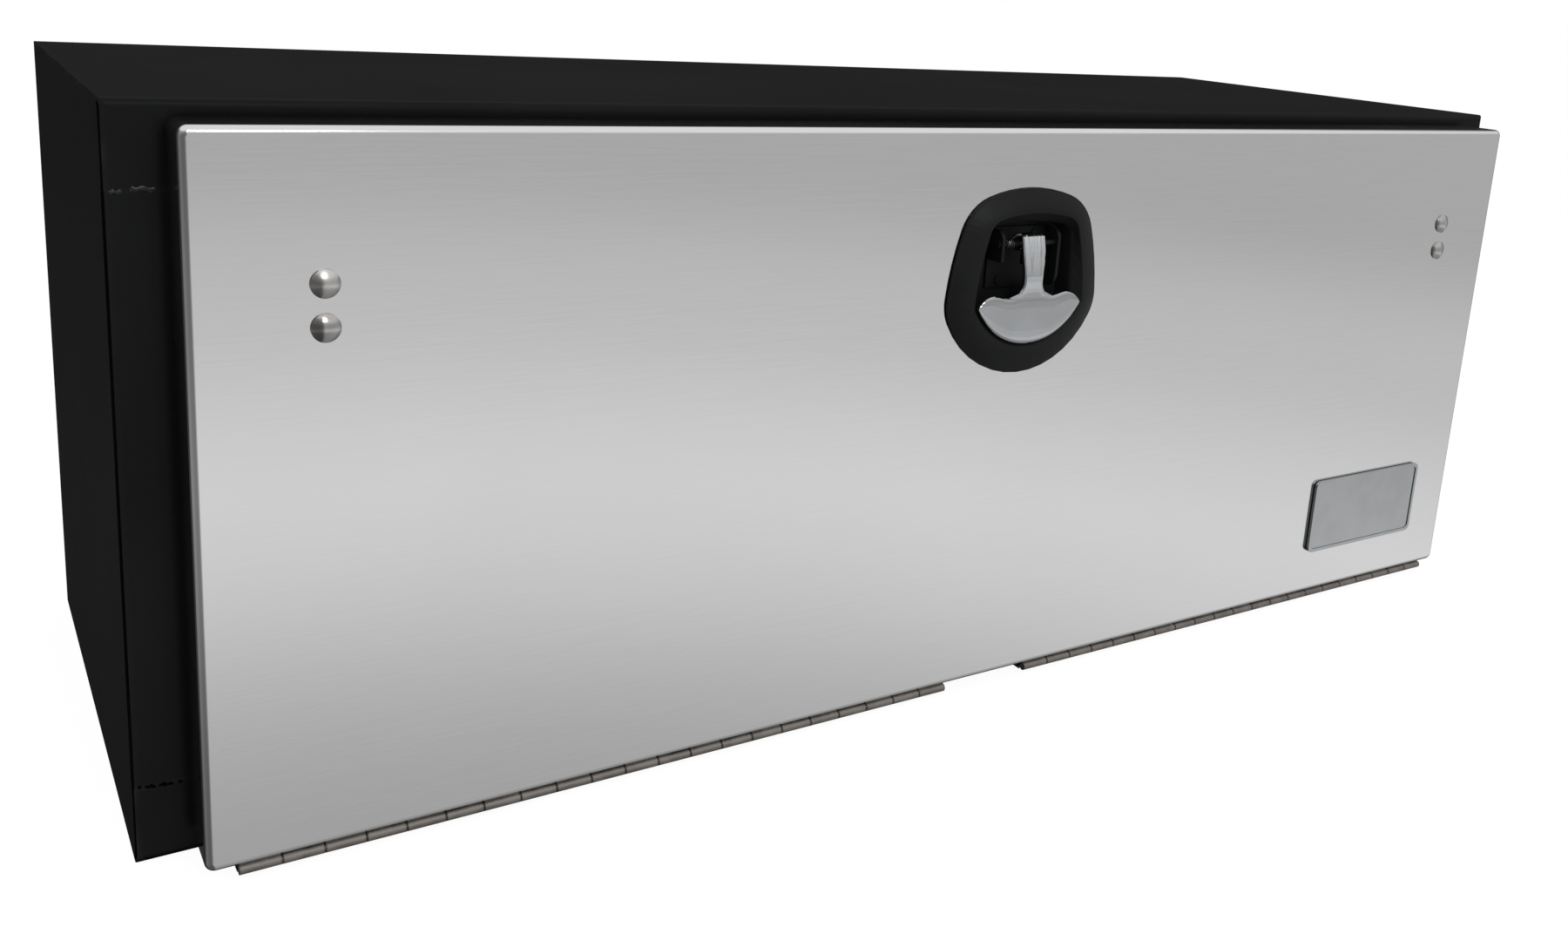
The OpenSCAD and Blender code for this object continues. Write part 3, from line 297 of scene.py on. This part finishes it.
def moulded(name, low, high, rough, grain, sheen):
    """Moulded or painted satin black: fine spark texture, clouded sheen, paler rubbed edges."""
    made = bpy.data.materials.new(name)
    t = Tree(made)
    place = t.place()
    spark = t.noise(place, scale=1500.0, detail=2.0, rough=0.5)
    cloud = t.noise(place, scale=18.0, detail=3.0, rough=0.5)
    rubs = t.noise(place, scale=60.0, detail=3.0, rough=0.6)
    rubbed = t.times(t.edge(width=0.0012), t.span(rubs, low=0.45, high=0.7))
    cool = -0.035
    colour = t.mix(t.span(cloud, low=0.3, high=0.7), grey(low, cool), grey(high, cool))
    colour = t.mix(t.times(rubbed, 0.25), colour, grey(high * 2.2))
    dullness = t.span(cloud, low=0.25, high=0.75, to_low=rough - 0.04, to_high=rough + 0.05)
    normal = t.bump(spark, strength=grain, distance=0.0002)
    t.surface(Base_Color=colour, Roughness=dullness, Normal=normal, Specular_IOR_Level=sheen)
    return made


def rubber():
    """Black extruded rubber: matt, with a fine grain and a dusty bloom."""
    made = bpy.data.materials.new("rubber")
    t = Tree(made)
    place = t.place()
    bloom = t.noise(place, scale=30.0, detail=4.0, rough=0.6)
    fine = t.noise(place, scale=1200.0, detail=2.0, rough=0.6)
    colour = t.mix(t.span(bloom, low=0.35, high=0.75), grey(0.006), grey(0.014))
    dullness = t.span(bloom, low=0.2, high=0.8, to_low=0.55, to_high=0.75)
    normal = t.bump(fine, strength=0.15, distance=0.0003)
    t.surface(Base_Color=colour, Roughness=dullness, Normal=normal, Specular_IOR_Level=0.2)
    return made


materials = {
    "black_coat": black_coat("black_coat", low=0.0078, high=0.0106, sheen=0.025, rough=0.36),
    "stainless": stainless(
        "stainless", base=0.66, rough_low=0.10, rough_high=0.15, line_strength=0.006),
    "hinge_steel": dull_steel(
        "hinge_steel", base=0.25, warm=0.08, rough=0.62, spots=0.4, end_shade=0.95),
    "satin_black": moulded(
        "satin_black", low=0.0072, high=0.0096, rough=0.45, grain=0.10, sheen=0.11),
    "black_steel": moulded(
        "black_steel", low=0.0055, high=0.0075, rough=0.42, grain=0.05, sheen=0.12),
    "chrome": chrome("chrome", base=0.36),
    "rubber": rubber(),
    "zinc_steel": dull_steel(
        "zinc_steel", base=0.52, warm=0.015, rough=0.22, spots=0.25, end_shade=0.3),
}
# Nodes that look a little different from the rest of their slot
variants = {
    "whale_tail_handle": chrome("handle_chrome", base=0.42, stem_reflection_level=0.64),
    "guide_bolts": dull_steel(
        "bolt_steel", base=0.46, warm=0.03, rough=0.14, spots=0.15, end_shade=0.0),
    "fold_spring": dull_steel(
        "spring_steel", base=0.13, warm=0.02, rough=0.34, spots=0.2, end_shade=0.0),
}
weld_coat = black_coat("weld_coat", low=0.008, high=0.014, sheen=0.3, rough=0.26)
# Near-black fill: painted shade on the bead down each bend, and the colour of the lower weld
# seams.
joint_fill = moulded("joint_fill", low=0.0008, high=0.0012, rough=0.7, grain=0.05, sheen=0.02)

slot_of = {entry["node"]: entry["material_slot"] for entry in frame["record"]["subparts"]}
for name, obj in nodes.items():
    obj.data.materials.clear()
    obj.data.materials.append(variants.get(name, materials[slot_of[name]]))


# Trim on the sheet: weld seams where the corner pieces of the front frame meet the side strips,
# and a near-black bead down the bend of each end wall, which is painted shade along the bend.
# The body is centred on the frame, so its front lies as far from the middle as its back.
strip_face = -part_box("back_panel")[1].y
side_x = -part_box("left_end")[0].x
STRIP_IN, STRIP_MARGIN = 0.5825, 0.0030
WELD_LOW, WELD_HIGH = 0.0500, 0.4070
WELD_STEPS, WELD_RING, WELD_LUMPS = 34, 7, 9
WELD_HALF, WELD_HALF_MORE = 0.0011, 0.0007
WELD_RISE, WELD_RISE_MORE = 0.00015, 0.0010
WELD_SINK = 0.0002
WELD_WANDER, WELD_KEEP = 0.0006, 0.7
WELD_TIP, WELD_TIP_SLOPE = 0.35, 14
BEND_R = 0.0050
BEND_SHADE_TURN = math.radians(30)
BEND_SHADE_R, BEND_SHADE_RING = 0.0009, 8


def add_to_box(name, points, faces, coat, smooth):
    mesh = bpy.data.meshes.new(name)
    mesh.from_pydata(points, [], faces)
    mesh.polygons.foreach_set("use_smooth", [smooth] * len(faces))
    mesh.materials.append(coat)
    obj = bpy.data.objects.new(name, mesh)
    scene.collection.objects.link(obj)
    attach(obj, "box")


def weld_seam(name, coat, start, end, seed):
    """A low uneven bead on the front strip from start to end, each (x, z)."""
    dice = random.Random(seed)
    run = Vector((end[0] - start[0], 0.0, end[1] - start[1]))
    side = Vector((-run.z, 0.0, run.x)).normalized()
    swell = [dice.random() ** 2 for _ in range(WELD_LUMPS)]
    points, faces = [], []
    wander = 0.0
    for i in range(WELD_STEPS + 1):
        along = i / WELD_STEPS
        wander = WELD_KEEP * wander + dice.uniform(-WELD_WANDER, WELD_WANDER)
        from_tip = min(along, 1 - along)
        taper = math.sin(math.pi * min(1.0, WELD_TIP + from_tip * WELD_TIP_SLOPE) / 2)
        half = (WELD_HALF + WELD_HALF_MORE * dice.random()) * taper
        lump, part = divmod(along * (WELD_LUMPS - 2), 1)
        bulge = swell[int(lump)] * (1 - part) + swell[int(lump) + 1] * part
        rise = (WELD_RISE + WELD_RISE_MORE * bulge) * taper
        middle = Vector((start[0], strip_face, start[1])) + run * along + side * wander
        for k in range(WELD_RING):
            turn = math.pi * k / (WELD_RING - 1)
            out = Vector((0.0, WELD_SINK - rise * math.sin(turn), 0.0))
            points.append(middle - side * half * math.cos(turn) + out)
    for i in range(WELD_STEPS):
        for k in range(WELD_RING):
            a, b = i * WELD_RING + k, i * WELD_RING + (k + 1) % WELD_RING
            faces.append((a, a + WELD_RING, b + WELD_RING, b))
    last = WELD_STEPS * WELD_RING
    faces += [tuple(range(WELD_RING)), tuple(reversed(range(last, last + WELD_RING)))]
    add_to_box(name, points, faces, coat, smooth=True)


def bend_shade_line(name, mirror):
    """A thin near-black bead down the bend of the end wall, between the two welds: painted shade
    along the bend.
    """
    x = mirror * (side_x - BEND_R * (1 - math.cos(BEND_SHADE_TURN)))
    y = strip_face + BEND_R * (1 - math.sin(BEND_SHADE_TURN))
    turns = [2 * math.pi * k / BEND_SHADE_RING for k in range(BEND_SHADE_RING)]
    points = [
        (x + BEND_SHADE_R * math.cos(turn), y + BEND_SHADE_R * math.sin(turn), level)
        for level in (WELD_LOW, WELD_HIGH) for turn in turns]
    faces = []
    for k in range(BEND_SHADE_RING):
        following = (k + 1) % BEND_SHADE_RING
        faces.append((k, following, BEND_SHADE_RING + following, BEND_SHADE_RING + k))
    faces += [tuple(reversed(range(BEND_SHADE_RING))), tuple(range(BEND_SHADE_RING, 2 * BEND_SHADE_RING))]
    add_to_box(name, points, faces, joint_fill, smooth=False)


# Level's name, height, half of the seam's slope from end to end, seed and material
welds = (
    ("upper", WELD_HIGH, 0.0006, 3, weld_coat),
    ("lower", WELD_LOW, -0.0016, 8, joint_fill),
)
for side_name, mirror in (("left", -1), ("right", 1)):
    for level_name, level, tilt, seed, coat in welds:
        outer = (mirror * (side_x - STRIP_MARGIN), level - tilt)
        inner = (mirror * STRIP_IN, level + tilt)
        weld_seam(f"weld_{level_name}_{side_name}", coat, outer, inner, seed + mirror)
    bend_shade_line(f"joint_{side_name}", mirror)


# Stage: pale floor, soft lights and a plain studio world
FLOOR_SIZE, FLOOR_DROP = 60.0, 0.0005
FLOOR_GREY, FLOOR_GLOW, FLOOR_GLOW_SHARE = 0.86, 1.05, 0.9
SOFT_LEVEL = 0.8
# What glossy faces see by height, from straight down at 0 to straight up at 1
SKY_BANDS = [
    (0.0, 0.34), (0.22, 0.50), (0.25, 0.56), (0.27, 0.66), (0.30, 0.87), (0.33, 0.98),
    (0.36, 0.85), (0.38, 0.73), (0.40, 0.745), (0.43, 0.56), (0.45, 0.575), (0.56, 0.60),
    (0.70, 1.0), (1.0, 1.0)]
# And by bearing: the back at 0 and 1, the left at 0.25, the front at 0.5, the right at 0.75
SKY_SIDES = [
    (0.0, 0.06), (0.19, 0.06), (0.24, 0.34), (0.32, 0.34), (0.36, 0.27),
    (0.47, 0.27), (0.51, 1.0), (0.69, 1.0), (0.80, 0.06), (1.0, 0.06)]


def plain_ray(t, path):
    """1 for rays that should see a plain white background"""
    return t.math("MAXIMUM", path["Is Camera Ray"], path["Is Transmission Ray"])


def make_stage():
    bpy.ops.mesh.primitive_plane_add(size=FLOOR_SIZE, location=(0, 0, -FLOOR_DROP))
    floor = bpy.context.object
    floor.name = "floor"
    made = bpy.data.materials.new("floor")
    t = Tree(made)
    path = t.add("ShaderNodeLightPath").outputs
    pale = t.add("ShaderNodeBsdfDiffuse", {"Color": grey(FLOOR_GREY)}).outputs[0]
    glow = {"Color": grey(1.0), "Strength": FLOOR_GLOW}
    white = t.add("ShaderNodeEmission", glow).outputs[0]
    amount = t.times(plain_ray(t, path), FLOOR_GLOW_SHARE)
    t.output("Material", t.add("ShaderNodeMixShader", {0: amount, 1: pale, 2: white}))
    floor.data.materials.append(made)
    floor.visible_glossy = False


def make_world():
    """White to the eye and soft to matt faces.

    Glossy faces see a bright front right, a dim left and a dark back.
    """
    world = bpy.data.worlds.new("studio")
    scene.world = world
    t = Tree(world)
    ray = t.add("ShaderNodeTexCoord").outputs["Generated"]
    axis = t.add("ShaderNodeSeparateXYZ", {0: ray}).outputs
    path = t.add("ShaderNodeLightPath").outputs
    bands = t.ramp(t.share(axis["Z"], low=-1.0, high=1.0), SKY_BANDS)
    turn = t.math("ARCTAN2", axis["X"], t.times(axis["Y"], -1.0))
    sides = t.ramp(t.share(turn, low=-math.pi, high=math.pi), SKY_SIDES)
    sides = t.mix(t.span(axis["Z"], low=0.45, high=0.75), sides, grey(1.0))

    def background(colour, level):
        return t.add("ShaderNodeBackground", {"Color": colour, "Strength": level}).outputs[0]

    glossy = background(t.mix(1.0, bands, sides, blend="MULTIPLY"), 1.0)
    white = background(grey(1.0), 1.0)
    soft = background(grey(1.0), SOFT_LEVEL)
    by_face = {0: path["Is Glossy Ray"], 1: soft, 2: glossy}
    lit = t.add("ShaderNodeMixShader", by_face).outputs[0]
    t.output("World", t.add("ShaderNodeMixShader", {0: plain_ray(t, path), 1: lit, 2: white}))


def area_light(name, place, aim, size, power):
    data = bpy.data.lights.new(name, "AREA")
    data.shape = "RECTANGLE"
    data.size, data.size_y = size
    data.energy = power
    light = bpy.data.objects.new(name, data)
    light.location = place
    light.rotation_euler = (Vector(aim) - Vector(place)).to_track_quat("-Z", "Y").to_euler()
    scene.collection.objects.link(light)
    return light


make_camera()
make_stage()
make_world()
area_light("key", place=(-0.35, -2.75, 2.05), aim=(0.0, -0.2, 0.25), size=(1.0, 0.8), power=26.0)
side_light = area_light(
    "side", place=(-2.6, -0.3, 1.5), aim=(-0.4, 0.0, 0.3), size=(1.6, 1.4), power=11.0)
side_light.visible_glossy = False
